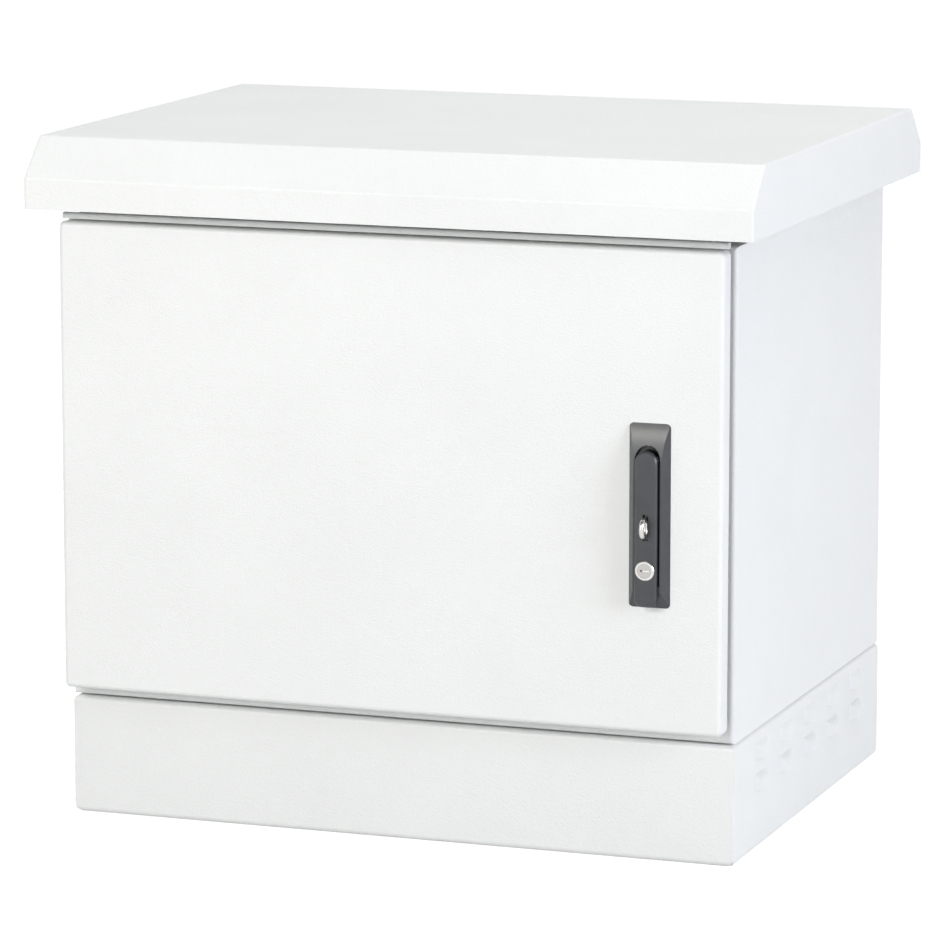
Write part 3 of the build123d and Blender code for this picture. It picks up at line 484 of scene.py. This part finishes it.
def handle_point(across, along, height):
    """A point by its place across the handle, its place along Z, and its height over the door."""
    return (HUB_X + across, DOOR_FACE - height, along)


def prism(name, outline, low_height, high_height):
    """An outline on the door's face, raised from one height to another."""
    rings = [
        [handle_point(across, along, height) for across, along in outline]
        for height in (low_height, high_height)
    ]
    return solid_between(name, *rings)


def combine(body, tool, operation):
    """Joins a solid with another, or cuts it by one, and removes the tool."""
    modifier = body.modifiers.new(operation, "BOOLEAN")
    modifier.operation = operation
    modifier.object = tool
    modifier.solver = "EXACT"
    depsgraph = bpy.context.evaluated_depsgraph_get()
    mesh = bpy.data.meshes.new_from_object(body.evaluated_get(depsgraph))
    body.modifiers.clear()
    body.data = mesh
    bpy.data.objects.remove(tool)


def bowed(share):
    """Height of the bowed facet, as a share of the ridge's, from the facet's edge inward."""
    return 2 * share - share * share


def handle_block():
    """Hipped block with a bowed top facet, a round-topped channel and a neck through the door."""
    low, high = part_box("handle_base")
    bottom = round(low.z, MICROMETRE)
    top = round(high.z, MICROMETRE)
    width = round(high.x - low.x, MICROMETRE)
    ridge = round(DOOR_FACE - low.y, MICROMETRE)
    neck_reach = round(high.y - DOOR_FACE, MICROMETRE)
    block = prism("handle_block", rounded_outline(width, bottom, top, HANDLE_CORNER), 0, ridge)

    side_view = [(bottom, 0), (bottom + RIDGE_BOTTOM_SLOPE, ridge)]
    for step in range(BOW_STEPS, -1, -1):
        share = step / BOW_STEPS
        side_view.append((top - RIDGE_TOP_SLOPE * share, ridge * bowed(share)))
    rings = [
        [handle_point(side, along, height) for along, height in side_view] for side in (-width, width)
    ]
    combine(block, solid_between("side_view", *rings), "INTERSECT")

    end_view = ((-width / 2, 0), (-RIDGE_WIDTH / 2, ridge), (RIDGE_WIDTH / 2, ridge), (width / 2, 0))
    rings = [
        [handle_point(across, along, height) for across, height in end_view] for along in (bottom, top)
    ]
    combine(block, solid_between("end_view", *rings), "INTERSECT")

    combine(block, prism("neck", circle(NECK_RADIUS, HUB_Z), -neck_reach, CHANNEL_FLOOR), "UNION")
    channel = arc((0, HUB_Z), (CHANNEL_HALF, CHANNEL_TOP), 0, 180, HALF_STEPS)
    channel += [(-CHANNEL_HALF, HUB_Z - CHANNEL_END), (CHANNEL_HALF, HUB_Z - CHANNEL_END)]
    combine(block, prism("channel", channel, CHANNEL_FLOOR, 2 * ridge), "DIFFERENCE")
    combine(block, prism("bore", circle(BORE_RADIUS, HUB_Z), -2 * neck_reach, ridge), "DIFFERENCE")

    block.data.shade_smooth()
    block.data.set_sharp_from_angle(angle=radians(HANDLE_SHARP_ANGLE))
    coat(block, finishes["handle_plastic"])
    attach(block, "door")
    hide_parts("handle_base")


def padlock_eye():
    """Oval eye with a rounded section, which stands up through the lever's slot."""
    ring = bmesh.new()
    rows = []
    for step in range(EYE_STEPS):
        turn = 2 * pi * step / EYE_STEPS
        row = []
        for part in range(EYE_SIDES):
            lean = 2 * pi * part / EYE_SIDES
            outward = EYE_RADIAL * cos(lean)
            along = HUB_Z - EYE_DROP + (EYE_HALF_LENGTH + outward) * sin(turn)
            rise = EYE_RISE + (EYE_HALF_RISE + outward) * cos(turn)
            row.append(ring.verts.new(handle_point(EYE_ACROSS * sin(lean), along, rise)))
        rows.append(row)
    for row, following in zip(rows, rows[1:] + rows[:1]):
        for part in range(EYE_SIDES):
            other = (part + 1) % EYE_SIDES
            ring.faces.new((row[part], row[other], following[other], following[part]))
    bmesh.ops.recalc_face_normals(ring, faces=ring.faces)
    eye = mesh_object("padlock_eye", ring)
    eye.data.shade_smooth()
    coat(eye, finishes["nickel_steel"])
    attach(eye, "handle_hub")
    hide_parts("padlock_staple")


def staple_carrier():
    """Plate under the lever that carries the padlock eye."""
    low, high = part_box("padlock_staple")
    plate = rounded_outline(CARRIER_WIDTH, low.z, high.z, CARRIER_CORNER)
    carrier = prism("staple_carrier", plate, CARRIER_FLOOR, CARRIER_FLOOR + CARRIER_THICKNESS)
    # The carrier is dark as painted shade, for the dark slot round the eye
    coat(carrier, gap_shade_steel)
    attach(carrier, "handle_hub")


def studio_world():
    """White where it is seen, dimmer as light, and darker overhead where gloss mirrors it."""
    world = bpy.data.worlds.new("studio")
    bpy.context.scene.world = world
    world.use_nodes = True
    sky = Nodes(world.node_tree)
    background = world.node_tree.nodes["Background"]
    sky.put(sky.spread(sky.seen(), WORLD_LIGHT, 1, low=0, high=1), background.inputs["Strength"])
    direction = sky.add("ShaderNodeSeparateXYZ")
    sky.put(sky.add("ShaderNodeTexCoord").outputs["Generated"], direction.inputs["Vector"])
    dimmed = sky.spread(direction.outputs["Z"], 1, SKY_TOP, low=SKY_DARKENS_FROM, high=SKY_DARKENS_TO)
    mirrored = sky.add("ShaderNodeLightPath").outputs["Is Glossy Ray"]
    sky.put(sky.blend(mirrored, WHITE, dimmed), background.inputs["Color"])


def studio_floor():
    """White where it is seen, with the object's soft shadow, and grey in the light it returns."""
    half = FLOOR_SIZE / 2
    mesh = bpy.data.meshes.new("floor")
    corners = [(-half, -half, 0), (half, -half, 0), (half, half, 0), (-half, half, 0)]
    mesh.from_pydata(corners, [], [(0, 1, 2, 3)])
    floor = add_object("floor", mesh)
    material = bpy.data.materials.new("floor")
    material.use_nodes = True
    tree = material.node_tree
    tree.nodes.remove(tree.nodes["Principled BSDF"])
    paint = Nodes(tree)
    seen = paint.seen()
    diffuse = paint.add("ShaderNodeBsdfDiffuse")
    paint.put(paint.blend(seen, FLOOR_LIT, FLOOR_SEEN), diffuse.inputs["Color"])
    glow = paint.add("ShaderNodeEmission")
    paint.put(paint.spread(seen, 0, FLOOR_GLOW, low=0, high=1), glow.inputs["Strength"])
    both = paint.add("ShaderNodeAddShader")
    paint.put(diffuse.outputs[0], both.inputs[0])
    paint.put(glow.outputs[0], both.inputs[1])
    paint.put(both.outputs[0], tree.nodes["Material Output"].inputs["Surface"])
    coat(floor, material)


def softbox(name, place, aim, size, watts, colour):
    """Large soft lamp at a place, turned to its aim."""
    data = bpy.data.lights.new(name, "AREA")
    data.shape = "RECTANGLE"
    data.size, data.size_y = size
    data.energy = watts
    data.color = colour
    lamp = add_object(name, data)
    lamp.location = place
    lamp.rotation_euler = (Vector(aim) - Vector(place)).to_track_quat("-Z", "Y").to_euler()


def studio_lamps():
    """A warm key lamp, a wide front lamp, a cool lamp at the right and a soft one overhead."""
    softbox(
        "key", place=(-0.80, -2.95, 1.72), aim=(0.1, 0, 0.4), size=(0.5, 0.5), watts=21,
        colour=(1.0, 0.98, 0.93),
    )
    softbox(
        "front", place=(-1.0, -3.4, 1.05), aim=(0, 0, 0.5), size=(2.4, 1.6), watts=33,
        colour=(1.0, 1.0, 0.995),
    )
    softbox(
        "side", place=(3.1, -1.1, 1.1), aim=(0, 0, 0.35), size=(1.2, 1.6), watts=55,
        colour=(0.88, 0.91, 1.0),
    )
    softbox(
        "top", place=(0.2, 0.5, 3.0), aim=(0, 0, 0.6), size=(1.8, 1.8), watts=30,
        colour=(0.98, 0.985, 1.0),
    )


def fitted_camera():
    """Camera at the photograph's viewing angle, aimed a little off the object's middle line."""
    data = bpy.data.cameras.new("camera")
    data.lens = CAMERA_LENS
    data.sensor_width = CAMERA_SENSOR
    turn = radians(CAMERA_TURN)
    tilt = radians(CAMERA_TILT)
    forward = Vector((-sin(turn) * cos(tilt), cos(turn) * cos(tilt), -sin(tilt)))
    right = Vector((cos(turn), sin(turn), 0))
    up = right.cross(forward)
    spot = Vector((0, 0, AIM_HEIGHT)) + AIM_RIGHT * right + AIM_UP * up - CAMERA_DISTANCE * forward
    facing = Matrix((right, up, -forward)).transposed().to_4x4()
    camera = add_object("camera", data)
    camera.matrix_world = Matrix.Translation(spot) @ facing
    bpy.context.scene.camera = camera


for part in frame["record"]["subparts"]:
    coat(nodes[part["node"]], finishes[part["material_slot"]])
# The rotor is dark as painted shade, for the dark gap in the channel's round end
coat(nodes["handle_rotor"], gap_shade_steel)
coat(nodes["lock_plug"], plug_nickel)
folded_canopy()
drip_rail()
handle_block()
padlock_eye()
staple_carrier()
studio_world()
studio_floor()
studio_lamps()
fitted_camera()
bpy.context.scene.view_settings.view_transform = "Standard"
